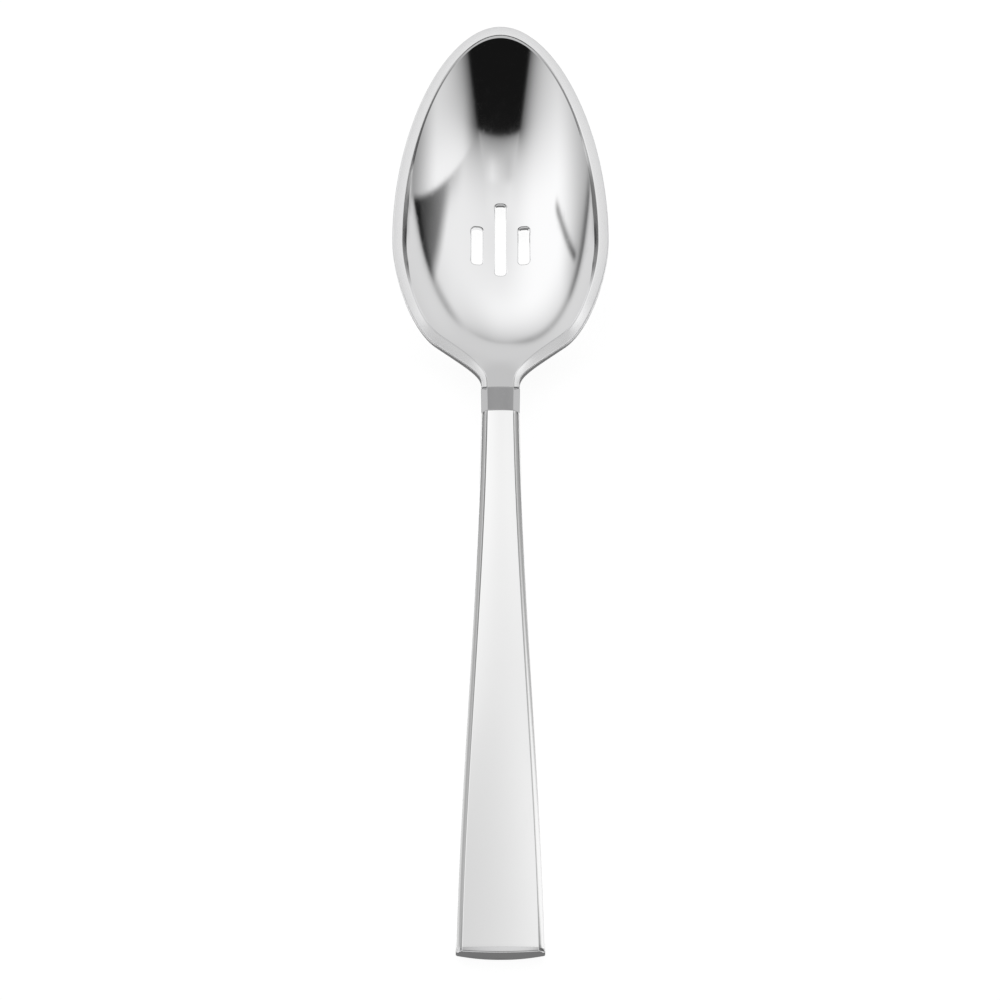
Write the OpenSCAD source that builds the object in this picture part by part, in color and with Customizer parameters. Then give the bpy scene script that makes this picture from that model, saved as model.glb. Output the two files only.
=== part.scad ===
// Slotted serving spoon with a hollow handle.
// +Y runs from the handle's end to the tip of the bowl, +X across, +Z up.
// The origin is on the table, under the middle of the spoon.

/* [Bowl] */
// Widest size across the rim
bowl_w = 47; // [40:0.2:54]
// Tip of the bowl to its widest place
tip_run = 51.4; // [46:0.2:58]
// Widest place of the bowl to the neck line
neck_run = 34.2; // [32:0.1:40]
// Deepest place, ahead of the widest place
deep_ahead = 3.5; // [0:0.1:6]
// Height of the rim's tip above the table
tip_rise = 10.1; // [8.5:0.1:12]
// Height of the rim at the widest place
side_rise = 11.4; // [10:0.1:13.4]
// Height of the neck's top at the neck line
neck_rise = 10.6; // [9.8:0.1:12.4]
// Flat land round the rim
rim_land = 2.5; // [1.8:0.1:3.2]
// Step down from the land to the dish
rim_step = 0.35; // [0.1:0.05:0.5]
// Thickness of the rim's outer edge
rim_t = 1.4; // [1:0.1:2]
// Wall at the deepest place
floor_t = 1.65; // [1.2:0.05:2.4]
// Thickness of the neck at the neck line
neck_t = 3.8; // [3.2:0.1:4.2]
// Half width of the shoulder where the outline turns to the neck
knee_half_w = 14; // [12.6:0.1:15.6]
// Shoulder's distance from the neck line
knee_run = 10.6; // [9:0.1:12.2]
// Slope of the shoulder across the spoon, in degrees
knee_angle = 30; // [24:1:36]

/* [Slots] */
// Width of each slot
slot_w = 2.4; // [1.8:0.1:3.2]
// Length of the middle slot
long_slot = 16.6; // [12:0.2:22]
// Length of each side slot
short_slot = 8.6; // [6:0.2:14]
// Middle slot to side slot, between centres
slot_pitch = 5.1; // [4.2:0.1:7]
// Corner radius at the slot's ends
slot_corner = 0.8; // [0.4:0.05:0.85]
// Middle slot's centre, ahead of the widest place
long_slot_ahead = 4; // [0:0.1:8]
// Side slots' centres, ahead of the widest place
short_slot_ahead = 2.5; // [0:0.1:8]

/* [Handle] */
// Neck line to the handle's end
handle_run = 127.4; // [110:0.2:150]
// Width at the neck
neck_w = 8.2; // [7.4:0.1:10]
// Width at the end
end_w = 19; // [15:0.2:24]
// Fall that the top starts with, behind the collar
heel_fall = 1.3; // [0.6:0.05:2]
// Fall that the top ends with, down to the end's top
end_fall = 3; // [2:0.1:5]
// Thickness behind the collar
heel_t = 5.6; // [5.4:0.1:6.4]
// Thickness at the end
end_t = 4.8; // [4.6:0.1:6]
// Width of the bevel along each upper edge
bevel_w = 1.4; // [0.8:0.1:2]
// Drop of that bevel
bevel_drop = 1.25; // [0.8:0.05:1.3]
// Crown of the upper face
face_crown = 0.2; // [0.05:0.05:0.4]
// Crown of the underside
under_crown = 1.4; // [0.8:0.1:1.6]
// Sheet thickness of both shells
shell_t = 0.9; // [0.6:0.05:1]
// Seam between the shells, below the top
seam_drop = 2.2; // [2.1:0.1:2.5]
// Depth of the flat ground on the underside, where the end rests
rest_grind = 0.3; // [0.2:0.02:0.5]

/* [Collar and tang] */
// Length of the collar along the spoon
collar_run = 6.3; // [5:0.1:9]
// Rise of the top across the collar
collar_lift = 2.1; // [1.6:0.1:2.5]
// Collar stands proud of the neck by this much
collar_step = 0.2; // [0.1:0.05:0.4]
// Thickness of the collar at the neck line
collar_t = 4.3; // [4:0.1:5]
// Spigot of the collar inside the shells
collar_spigot_run = 3; // [2:0.1:5]
// Width of the tang
tang_w = 4.4; // [3.4:0.1:5]
// Thickness of the tang
tang_t = 1.6; // [1.2:0.1:1.8]
// Tang's centre above the middle of the neck's end face
tang_lift = 0.7; // [0.5:0.05:0.85]
// Tang's end above the handle's middle there
tang_end_lift = 0.5; // [0.2:0.1:0.8]
// Neck line to the tang's end
tang_run = 26; // [22:0.5:30]
// Length of the filler that beds the tang
filler_run = 21; // [18:0.5:30]
// Gap between pieces that are brazed or bedded together
fit_gap = 0.05; // [0.02:0.01:0.1]

/* [End plate] */
// Thickness of the plate that closes the handle
plate_t = 1.2; // [0.9:0.1:2]
// How far the plate's middle stands out past its corners
end_bow = 0.6; // [0.2:0.1:0.8]
// Spigot of the plate inside the shells
plate_spigot_run = 2.5; // [1.5:0.1:4]

/* [Hidden] */

overrun = 1;
// How far the tang reaches into the neck, and a spigot into its own flange
root = 0.2;
handle_rise = neck_rise + collar_lift;
overall = tip_run + neck_run + handle_run;
tip_y = overall / 2;
wide_y = tip_y - tip_run;
neck_y = wide_y - neck_run;
deep_y = wide_y + deep_ahead;
shell_y = neck_y - collar_run;
shell_run = handle_run - collar_run;
plate_share = 1 - plate_t / shell_run;
end_y = -overall / 2;

// Shares of the curve handles that shape the bowl's outline
tip_pull_share = 0.514;
side_pull_share = 0.52;
shoulder_pull_share = 0.325;
knee_in_share = 0.59;
knee_out_share = 1.12;
neck_pull_share = 0.28;
// Share of the way to the first row of the bowl, which leaves the tip blunt
tip_start_share = 0.02;
// Shares that shape the handle's taper between its two widths
taper_shares = [0, 0.12, 0.84, 1];
// Shares of a wall that an inner corner moves by at the bevel
corner_drop_share = 0.46;
corner_side_share = 0.37;
// Share of the tip's first row that its front edge spans
tip_edge_share = 0.9;
// Share of it where the land's inner line meets that edge
land_edge_share = 0.95;
// Share of the land that lies flat before the step
land_flat_share = 0.8;
// Share of the shoulder's run over which the dish flattens towards the neck
flatten_share = 0.8;
// Share of the step that is left where the dish runs out at the neck
neck_step_share = 0.5;
// Rows and columns of the surfaces
tip_rows = 24;
side_rows = 12;
knee_rows = 10;
dish_cols = 10;
shell_rows = 36;
under_cols = 4;
filler_rows = 6;
bow_facets = 240;
$fn = 48;

function bezier(a, b, c, d, t) =
    pow(1 - t, 3) * a + 3 * pow(1 - t, 2) * t * b + 3 * (1 - t) * t * t * c + pow(t, 3) * d;

// A closed solid between two grids of points that have the same rows and columns.
// When pinched, the first row shares its two end points with the next row.
module between(upper, lower, pinched = false) {
    rows = len(upper);
    cols = len(upper[0]);
    count = rows * cols;
    points = [for (g = [upper, lower]) for (row = g) for (p = row) p];
    function at(r, c) = (pinched && r == 0 && (c == 0 || c == cols - 1) ? 1 : r) * cols + c;
    cells = [for (r = [0:rows - 2]) for (c = [0:cols - 2])
        [at(r, c), at(r, c + 1), at(r + 1, c + 1), at(r + 1, c)]];
    rim = concat(
        [for (c = [0:cols - 2]) [at(0, c), at(0, c + 1)]],
        [for (r = [0:rows - 2]) [at(r, cols - 1), at(r + 1, cols - 1)]],
        [for (c = [cols - 1:-1:1]) [at(rows - 1, c), at(rows - 1, c - 1)]],
        [for (r = [rows - 1:-1:1]) [at(r, 0), at(r - 1, 0)]]);
    faces = concat(
        [for (q = cells) each [[q[0], q[1], q[2]], [q[0], q[2], q[3]]]],
        [for (q = cells) each [
            [q[0] + count, q[2] + count, q[1] + count],
            [q[0] + count, q[3] + count, q[2] + count]]],
        [for (e = rim) each [[e[1], e[0], e[0] + count], [e[1], e[0] + count, e[1] + count]]]);
    sound = [for (f = faces) if (f[0] != f[1] && f[1] != f[2] && f[2] != f[0]) f];
    polyhedron(points = points, faces = sound, convexity = 4);
}

// A closed solid through convex rings of points
module through(rings) {
    sides = len(rings[0]);
    last = len(rings) - 1;
    points = [for (ring = rings) for (p = ring) p];
    skin = [for (r = [0:last - 1]) for (s = [0:sides - 1])
        let (a = r * sides + s, b = r * sides + (s + 1) % sides) each
        [[a, b + sides, b], [a, a + sides, b + sides]]];
    ends = [
        [for (s = [0:sides - 1]) s],
        [for (s = [0:sides - 1]) last * sides + (sides - s) % sides]];
    polyhedron(points = points, faces = concat(skin, ends), convexity = 4);
}

// Half outline of the bowl, from the tip to the neck, drawn in by inset all round
function outline(inset) =
    let (
        half = bowl_w / 2 - inset,
        tip = tip_y - inset,
        neck_half = neck_w / 2 - inset / 2,
        knee = [knee_half_w - inset * sin(knee_angle),
            neck_y + knee_run + inset * cos(knee_angle)],
        along = [-cos(knee_angle), -sin(knee_angle)],
        run_in = (wide_y - knee[1]) * shoulder_pull_share,
        pull_in = knee_run * knee_in_share,
        pull_out = knee_run * knee_out_share)
    concat(
        [for (i = [0:tip_rows]) let (t = tip_start_share + (1 - tip_start_share) * i / tip_rows)
            bezier([0, tip], [tip_pull_share * half, tip],
                [half, wide_y + side_pull_share * (tip - wide_y)], [half, wide_y], t)],
        [for (i = [1:side_rows]) bezier([half, wide_y], [half, wide_y - run_in],
            knee - along * pull_in, knee, i / side_rows)],
        [for (i = [1:knee_rows]) bezier(knee, knee + along * pull_out,
            [neck_half, neck_y + knee_run * neck_pull_share], [neck_half, neck_y], i / knee_rows)]);

// Height of a long dish at y: one curvature past the deepest place, then a cubic lift to the neck
function dish_z(y, low, tip, tip_rise_z, neck_rise_z) =
    let (
        bend = (tip_rise_z - low) / pow(tip - deep_y, 2),
        rear = deep_y - neck_y,
        lift = (neck_rise_z - low - bend * rear * rear) / pow(rear, 3),
        d = y - deep_y)
    low + bend * d * d + (d < 0 ? -lift * pow(d, 3) : 0);

dish_low = floor_t + rim_step;
inside_bend = (side_rise - dish_low) / pow(bowl_w / 2 - rim_land, 2);
outside_bend = (side_rise - rim_t) / pow(bowl_w / 2, 2);
// The dish flattens across as it runs into the neck
function flatten(y) =
    let (t = min(1, max(0, (y - neck_y) / (knee_run * flatten_share)))) t * t * (3 - 2 * t);
function inside_z(x, y) =
    dish_z(y, dish_low, tip_y - rim_land, tip_rise, neck_rise) + inside_bend * x * x * flatten(y);
function outside_z(x, y) =
    dish_z(y, 0, tip_y, tip_rise - rim_t, neck_rise - neck_t) + outside_bend * x * x;

// The dish itself, a step below the height that the land takes from the inside surface
function dish_top(x, y) =
    inside_z(x, y) - rim_step * (neck_step_share + (1 - neck_step_share) * flatten(y));

// Columns across the dish, closer together near the land
dish_shares = [for (i = [-dish_cols:dish_cols]) sin(90 * i / dish_cols)];
edge_shares = concat([-land_edge_share], dish_shares * tip_edge_share, [land_edge_share]);

// The tip's blunt front edge at height z, bowed a little so that it meets the first row
function tip_edge(corner, z) = concat(
    [[-corner[0], corner[1], z]],
    [for (t = edge_shares) [t * corner[0], tip_y - (tip_y - corner[1]) * t * t, z]],
    [[corner[0], corner[1], z]]);

module bowl_shell() {
    rim = outline(0);
    land = outline(rim_land * land_flat_share);
    edge = outline(rim_land);
    upper = [for (r = [0:len(rim) - 1])
        let (e = edge[r], m = land[r], o = rim[r], z = inside_z(e[0], e[1])) concat(
            [[-o[0], o[1], z], [-m[0], m[1], z]],
            [for (s = dish_shares) [s * e[0], e[1], dish_top(s * e[0], e[1])]],
            [[m[0], m[1], z], [o[0], o[1], z]])];
    lower = [for (r = [0:len(rim) - 1])
        let (e = edge[r], m = land[r], o = rim[r],
            z = outside_z(o[0], o[1]), m_z = outside_z(m[0], m[1])) concat(
            [[-o[0], o[1], z], [-m[0], m[1], m_z]],
            [for (s = dish_shares) [s * e[0], e[1], outside_z(s * e[0], e[1])]],
            [[m[0], m[1], m_z], [o[0], o[1], z]])];
    between(
        concat([tip_edge(rim[0], upper[0][0][2])], upper),
        concat([tip_edge(rim[0], lower[0][0][2])], lower),
        pinched = true);
}

// One slot through the floor, with rounded corners
module slot(run) {
    side = slot_w / 2 - slot_corner;
    end = run / 2 - slot_corner;
    translate([0, 0, -overrun]) linear_extrude(side_rise + 2 * overrun) {
        square([2 * side, run], center = true);
        square([slot_w, 2 * end], center = true);
        for (x = [-side, side], y = [-end, end])
            translate([x, y]) circle(r = slot_corner);
    }
}

module slots() {
    translate([0, wide_y + long_slot_ahead, 0]) slot(long_slot);
    for (side = [-1, 1])
        translate([side * slot_pitch, wide_y + short_slot_ahead, 0]) slot(short_slot);
}

// Shape of the handle at share u of the way from the collar to the end
function handle_half(u) =
    (neck_w + (end_w - neck_w) * bezier(taper_shares[0], taper_shares[1], taper_shares[2],
        taper_shares[3], u)) / 2;
function handle_top(u) =
    bezier(handle_rise, handle_rise - heel_fall, end_t + end_fall, end_t, u);
function handle_under(u) = handle_top(u) - heel_t - (end_t - heel_t) * u - rest_grind;
function handle_y(u) = shell_y - shell_run * u;
function share_at(y) = (shell_y - y) / shell_run;

// Tang's centreline, from the neck's middle to the handle's middle
tang_u = (tang_run - collar_run) / shell_run;
tang_from = [0, neck_y, neck_rise - neck_t / 2 + tang_lift];
tang_to_z = (handle_top(tang_u) + handle_under(tang_u)) / 2 + tang_end_lift;
tang_to = [0, neck_y - tang_run, tang_to_z];
tang_tilt = atan2(tang_to[2] - tang_from[2], tang_run);

module tang(gap, ahead) {
    long = norm(tang_to - tang_from);
    translate(tang_from) rotate([-tang_tilt, 0, 0])
        translate([-tang_w / 2 - gap, -long - gap, -tang_t / 2 - gap])
            cube([tang_w + 2 * gap, long + gap + ahead, tang_t + 2 * gap]);
}

module bowl() {
    color("gainsboro") {
        difference() {
            union() {
                bowl_shell();
                tang(0, root);
            }
            slots();
        }
    }
}

// Points of a handle section drawn in by inset, from one seam over the top to the other
function top_points(half, top, seam, inset, y) =
    let (
        flat = half - bevel_w - inset * corner_side_share,
        side = half - inset,
        shoulder = top - face_crown - bevel_drop - inset * corner_drop_share,
        right = concat(
            [[side, seam], [side, shoulder]],
            [for (s = face_shares) [flat * s, top - inset - face_crown * s * s]]))
    concat(
        [for (p = right) [p[0], y, p[1]]],
        [for (i = [len(right) - 2:-1:0]) [-right[i][0], y, right[i][1]]]);

// Points of a handle section drawn in by inset, from one seam under the bottom to the other
function under_points(half, under, seam, inset, y) =
    let (side = half - inset)
    concat(
        [[side, y, seam]],
        [for (i = [under_cols:-1:-under_cols]) let (x = side * i / under_cols)
            [x, y, under + inset + under_crown * x * x / half / half]],
        [[-side, y, seam]]);

function seam_z(u) = handle_top(u) - seam_drop;
face_shares = [1, 0.75, 0.5, 0.25, 0];
shell_shares = [for (i = [0:shell_rows]) plate_share * i / shell_rows];

module handle_top_shell() {
    outer = [for (u = shell_shares)
        top_points(handle_half(u), handle_top(u), seam_z(u), 0, handle_y(u))];
    inner = [for (u = shell_shares)
        top_points(handle_half(u), handle_top(u), seam_z(u), shell_t, handle_y(u))];
    color("whitesmoke") between(inner, outer);
}

module handle_bottom_shell() {
    outer = [for (u = shell_shares)
        under_points(handle_half(u), handle_under(u), seam_z(u), 0, handle_y(u))];
    inner = [for (u = shell_shares)
        under_points(handle_half(u), handle_under(u), seam_z(u), shell_t, handle_y(u))];
    color("silver") difference() {
        between(outer, inner);
        under_table();
    }
}

// All that would reach below the table
module under_table() {
    translate([-end_w, end_y - overrun, -end_t])
        cube([2 * end_w, shell_run, end_t]);
}

// A full ring of a section, drawn in by inset and placed at y
function section(half, top, under, inset, y) =
    let (
        seam = top - seam_drop,
        over = top_points(half, top, seam, inset, y),
        below = under_points(half, under, seam, inset, y))
    concat(over, [for (i = [len(below) - 2:-1:1]) below[i]]);

function ring(u, inset, y) = section(handle_half(u), handle_top(u), handle_under(u), inset, y);

module neck_collar() {
    top = neck_rise + collar_step;
    front = section(neck_w / 2 + collar_step / 2, top, top - collar_t, 0, neck_y);
    inside = shell_t + fit_gap;
    spigot_y = shell_y - collar_spigot_run;
    color("darkgray") difference() {
        union() {
            through([front, ring(0, 0, shell_y)]);
            through([
                ring(0, inside, shell_y + root),
                ring(share_at(spigot_y), inside, spigot_y)]);
        }
        tang(fit_gap, overrun);
    }
}

module end_plate() {
    inside = shell_t + fit_gap;
    plate_y = end_y + plate_t;
    spigot_y = plate_y + plate_spigot_run;
    half = end_w / 2;
    bow_r = (half * half + end_bow * end_bow) / (2 * end_bow);
    color("dimgray") difference() {
        intersection() {
            union() {
                through([ring(plate_share, 0, plate_y), ring(1, 0, end_y)]);
                through([
                    ring(share_at(spigot_y), inside, spigot_y),
                    ring(plate_share, inside, plate_y - root)]);
            }
            translate([0, end_y + bow_r, -end_t])
                cylinder(h = 3 * end_t, r = bow_r, $fn = bow_facets);
        }
        under_table();
    }
}

module tang_filler() {
    inside = shell_t + fit_gap;
    from_y = shell_y - collar_spigot_run - fit_gap;
    rows = [for (i = [0:filler_rows]) from_y - filler_run * i / filler_rows];
    color("slategray") difference() {
        through([for (y = rows) ring(share_at(y), inside, y)]);
        tang(fit_gap, overrun);
    }
}

bowl();
neck_collar();
handle_top_shell();
handle_bottom_shell();
end_plate();
tang_filler();
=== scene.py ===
import math

import bmesh
import bpy
import numpy as np
from mathutils import Matrix, Vector


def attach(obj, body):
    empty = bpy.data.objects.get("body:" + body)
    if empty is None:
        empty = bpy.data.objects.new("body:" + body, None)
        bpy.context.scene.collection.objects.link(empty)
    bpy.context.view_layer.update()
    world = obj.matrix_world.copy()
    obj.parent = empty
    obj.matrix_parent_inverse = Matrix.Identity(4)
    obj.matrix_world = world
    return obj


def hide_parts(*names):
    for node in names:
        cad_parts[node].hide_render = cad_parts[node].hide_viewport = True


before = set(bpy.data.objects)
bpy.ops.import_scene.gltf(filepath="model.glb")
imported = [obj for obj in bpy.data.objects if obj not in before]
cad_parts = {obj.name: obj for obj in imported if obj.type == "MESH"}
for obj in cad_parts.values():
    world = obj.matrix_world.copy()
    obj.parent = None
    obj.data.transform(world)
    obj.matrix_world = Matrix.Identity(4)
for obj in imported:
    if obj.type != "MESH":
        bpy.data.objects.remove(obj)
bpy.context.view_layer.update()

MM = 0.001

# Sizes of the spoon in millimetres, the same as the CAD part's
BOWL_W = 47.0
TIP_RUN = 51.4
NECK_RUN = 34.2
DEEP_AHEAD = 3.5
TIP_RISE = 10.1
SIDE_RISE = 11.4
NECK_RISE = 10.6
RIM_LAND = 2.5
RIM_T = 1.4
FLOOR_T = 1.65
NECK_T = 3.8
KNEE_HALF_W = 14.0
KNEE_RUN = 10.6
KNEE_ANGLE = math.radians(30)
SLOT_W = 2.4
LONG_SLOT = 16.6
SHORT_SLOT = 8.6
SLOT_PITCH = 5.1
SLOT_CORNER = 0.8
LONG_SLOT_AHEAD = 4.0
SHORT_SLOT_AHEAD = 2.5
HANDLE_RUN = 127.4
NECK_W = 8.2
END_W = 19.0
HEEL_FALL = 1.3
END_FALL = 3.0
HEEL_T = 5.6
END_T = 4.8
BEVEL_W = 1.4
BEVEL_DROP = 1.25
FACE_CROWN = 0.2
UNDER_CROWN = 1.4
SHELL_T = 0.9
SEAM_DROP = 2.2
REST_GRIND = 0.3
COLLAR_RUN = 6.3
COLLAR_LIFT = 2.1
COLLAR_STEP = 0.2
COLLAR_T = 4.3
COLLAR_SPIGOT = 3.0
TANG_W = 4.4
TANG_T = 1.6
TANG_LIFT = 0.7
TANG_END_LIFT = 0.5
TANG_RUN = 26.0
FIT_GAP = 0.05
PLATE_T = 1.2
PLATE_SPIGOT = 2.5
ROOT = 0.2

TIP_PULL, SIDE_PULL, SHOULDER_PULL = 0.514, 0.52, 0.325
KNEE_IN, KNEE_OUT, NECK_PULL = 0.59, 1.12, 0.28
FLATTEN_RUN = KNEE_RUN * 0.8
TAPER = (0.0, 0.12, 0.84, 1.0)
CORNER_DROP, CORNER_SIDE = 0.46, 0.37

# Softened edges of the real spoon, in millimetres
RIM_OUTER_R = 0.35
RIM_UNDER_R = 0.45
SLOT_SOFT = 0.38
SHELL_EDGE_R = 0.22
SEAM_EDGE_R = 0.07
PLATE_SEAM_R = 0.03
PLATE_EDGE_R = 0.25
COLLAR_EDGE_R = 0.12
TANG_EDGE_R = 0.15
# The shells' inner edges, at their face and at the seam
INNER_EDGE_R = 0.1
INNER_SEAM_R = 0.03
BEVEL_BULGE = 0.045
# The bow of the end plate, a little less than the 0.6 of the CAD part
END_BOW = 0.45

# The small step between the rim's land and the dish
LAND_FLAT = 2.0
STEP_DROP = 0.35
STEP_ANGLE = math.radians(44)
STEP_TOP_R = 0.5
STEP_FOOT_R = 0.5
# Behind the bowl the land leans into the neck's slope over this run, by this share
LEAN_RUN = 9.0
LAND_LEAN = 0.8
# Where the step's colour is darkened by painted shade, a dark line in its crease: from this
# sideways share of the outline's direction, and from this far behind the tip
CREASE_SHADE_SIDE, CREASE_SHADE_SIDE_RUN = 0.86, 0.11
CREASE_SHADE_BACK, CREASE_SHADE_BACK_RUN = 22.0, 14.0

# How finely the curves are cut, and how near points are welded, in metres
TIP_ROWS, SIDE_ROWS, KNEE_ROWS = 81, 41, 37
TIP_CROWDING = 1.15
DISH_COLUMNS = 97
ROUND_STEPS = 7
SHELL_ROWS = 161
FACE_COLUMNS = 17
WELD = 2e-7
# How far a punch runs past what it cuts, and a spigot's first ring past its shoulder
PUNCH_PAST = 0.6
POCKET_PAST = 1.0
TUCK = 0.01
# The step turns at least this much from the dish, and its wall is at least this long
LEAST_TURN = 0.05
LEAST_WALL = 0.02

OVERALL = TIP_RUN + NECK_RUN + HANDLE_RUN
TIP_Y = OVERALL / 2
WIDE_Y = TIP_Y - TIP_RUN
NECK_Y = WIDE_Y - NECK_RUN
DEEP_Y = WIDE_Y + DEEP_AHEAD
SHELL_Y = NECK_Y - COLLAR_RUN
SHELL_RUN = HANDLE_RUN - COLLAR_RUN
END_Y = -OVERALL / 2
HANDLE_RISE = NECK_RISE + COLLAR_LIFT
# The low point of the dish before the step drops it
DISH_LOW = FLOOR_T + STEP_DROP


def bezier(a, b, c, d, t):
    t = np.asarray(t, float)
    return (1 - t) ** 3 * a + 3 * (1 - t) ** 2 * t * b + 3 * (1 - t) * t * t * c + t ** 3 * d


# Bowl: the dish surfaces and the outline

def dish_z(y, low, tip, tip_z, neck_z):
    bend = (tip_z - low) / (tip - DEEP_Y) ** 2
    rear = DEEP_Y - NECK_Y
    lift = (neck_z - low - bend * rear * rear) / rear ** 3
    d = np.asarray(y, float) - DEEP_Y
    return low + bend * d * d + np.where(d < 0, -lift * d ** 3, 0)


def inside_z(x, y):
    bend = (SIDE_RISE - DISH_LOW) / (BOWL_W / 2 - RIM_LAND) ** 2
    t = np.clip((np.asarray(y, float) - NECK_Y) / FLATTEN_RUN, 0, 1)
    flatten = t * t * (3 - 2 * t)
    return dish_z(y, DISH_LOW, TIP_Y - RIM_LAND, TIP_RISE, NECK_RISE) + bend * x * x * flatten


def dish_top(x, y):
    """The inside surface, dropped below the land by the step."""
    t = np.clip((np.asarray(y, float) - NECK_Y) / FLATTEN_RUN, 0, 1)
    return inside_z(x, y) - STEP_DROP * (0.5 + 0.5 * t * t * (3 - 2 * t))


def outside_z(x, y):
    bend = (SIDE_RISE - RIM_T) / (BOWL_W / 2) ** 2
    return dish_z(y, 0.0, TIP_Y, TIP_RISE - RIM_T, NECK_RISE - NECK_T) + bend * x * x


def slope(surface, x, y):
    e = 0.01
    return ((surface(x + e, y) - surface(x - e, y)) / (2 * e),
            (surface(x, y + e) - surface(x, y - e)) / (2 * e))


def surface_normal(surface, x, y, up):
    zx, zy = slope(surface, x, y)
    n = np.stack([-zx, -zy, np.ones_like(zx)], -1)
    n /= np.linalg.norm(n, axis=-1, keepdims=True)
    return n if up else -n


def outline(inset, tip_rows, side_rows, knee_rows):
    """Right half outline from the tip to the neck, drawn in by inset."""
    half = BOWL_W / 2 - inset
    tip = TIP_Y - inset
    neck_half = NECK_W / 2 - inset / 2
    knee = np.array([KNEE_HALF_W - inset * math.sin(KNEE_ANGLE),
                     NECK_Y + KNEE_RUN + inset * math.cos(KNEE_ANGLE)])
    along = np.array([-math.cos(KNEE_ANGLE), -math.sin(KNEE_ANGLE)])
    into = knee - along * KNEE_RUN * KNEE_IN
    out = knee + along * KNEE_RUN * KNEE_OUT
    run_in = (WIDE_Y - knee[1]) * SHOULDER_PULL
    a, b, c = tip_rows, side_rows, knee_rows
    front = np.c_[bezier(0, TIP_PULL * half, half, half, a),
                  bezier(tip, tip, WIDE_Y + SIDE_PULL * (tip - WIDE_Y), WIDE_Y, a)]
    side = np.c_[bezier(half, half, into[0], knee[0], b),
                 bezier(WIDE_Y, WIDE_Y - run_in, into[1], knee[1], b)]
    rear = np.c_[bezier(knee[0], out[0], neck_half, neck_half, c),
                 bezier(knee[1], out[1], NECK_Y + KNEE_RUN * NECK_PULL, NECK_Y, c)]
    return np.vstack([front, side[1:], rear[1:]])


# Meshes: a grid of points becomes one smooth piece with exact normals

def grid_mesh(points, marks=None):
    """points are rows x columns x 3, in millimetres; marks are how satin each is and how much painted
    shade darkens it.
    """
    rows, cols = points.shape[:2]
    bm = bmesh.new()
    bmesh.ops.create_grid(bm, x_segments=cols - 1, y_segments=rows - 1, size=1.0)
    satin, crease = [bm.verts.layers.float.new(name) for name in ("satin", "crease")]
    for v in bm.verts:
        c = round((v.co.x + 1) / 2 * (cols - 1))
        r = round((v.co.y + 1) / 2 * (rows - 1))
        v.co = points[r, c] * MM
        if marks is not None:
            v[satin], v[crease] = marks[r, c]
    return bm


def steel_piece(name, points, normals, marks=None):
    """A closed sleeve of steel: the last column joins the first, and open ends are capped."""
    rows, cols = points.shape[:2]
    bm = grid_mesh(points, marks)
    layer = bm.verts.layers.float_vector.new("polish")
    bm.verts.ensure_lookup_table()
    for i, v in enumerate(bm.verts):
        v[layer] = normals[i // cols, i % cols]
    bmesh.ops.remove_doubles(bm, verts=bm.verts[:], dist=WELD)
    ends = [e for e in bm.edges if e.is_boundary]
    if ends:
        bmesh.ops.holes_fill(bm, edges=ends, sides=0)
    bmesh.ops.recalc_face_normals(bm, faces=bm.faces[:])
    return as_object(name, bm)


def as_object(name, bm):
    mesh = bpy.data.meshes.new(name)
    bm.to_mesh(mesh)
    bm.free()
    piece = bpy.data.objects.new(name, mesh)
    bpy.context.scene.collection.objects.link(piece)
    return piece


def unite_or_cut(piece, others, how):
    for other in others:
        m = piece.modifiers.new("work", "BOOLEAN")
        m.operation, m.solver, m.object = how, "EXACT", other
    graph = bpy.context.evaluated_depsgraph_get()
    mesh = bpy.data.meshes.new_from_object(piece.evaluated_get(graph))
    piece.modifiers.clear()
    piece.data = mesh
    for other in others:
        bpy.data.objects.remove(other)


def polish(piece, near_slots=False):
    """Each corner takes the exact normal of the surface it lies on."""
    mesh = piece.data
    mesh.shade_smooth()
    count = len(mesh.loops)
    corner = np.empty(count, int)
    mesh.loops.foreach_get("vertex_index", corner)
    sizes = np.empty(len(mesh.polygons), int)
    mesh.polygons.foreach_get("loop_total", sizes)
    flat = np.empty(len(mesh.polygons) * 3)
    mesh.polygons.foreach_get("normal", flat)
    flat = np.repeat(flat.reshape(-1, 3), sizes, axis=0)
    exact = np.empty(len(mesh.vertices) * 3)
    mesh.attributes["polish"].data.foreach_get("vector", exact)
    normals = exact.reshape(-1, 3)[corner]
    size = np.linalg.norm(normals, axis=1)
    normals /= np.maximum(size, 1e-6)[:, None]
    # Caps, cut faces and the tang stay flat: no smooth surface gave them a normal that fits
    lost = (size < 0.5) | ((normals * flat).sum(1) < 0.25) | (np.repeat(sizes, sizes) > 4)
    if near_slots:
        co = np.empty(len(mesh.vertices) * 3)
        mesh.vertices.foreach_get("co", co)
        at = co.reshape(-1, 3)[corner] / MM
        near, slot_n = slot_normals(at)
        normals[near] = slot_n
        lost &= ~near
    normals[lost] = flat[lost]
    mesh.normals_split_custom_set(normals.tolist())


# Bowl: the rim, the rows and the slots

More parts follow.
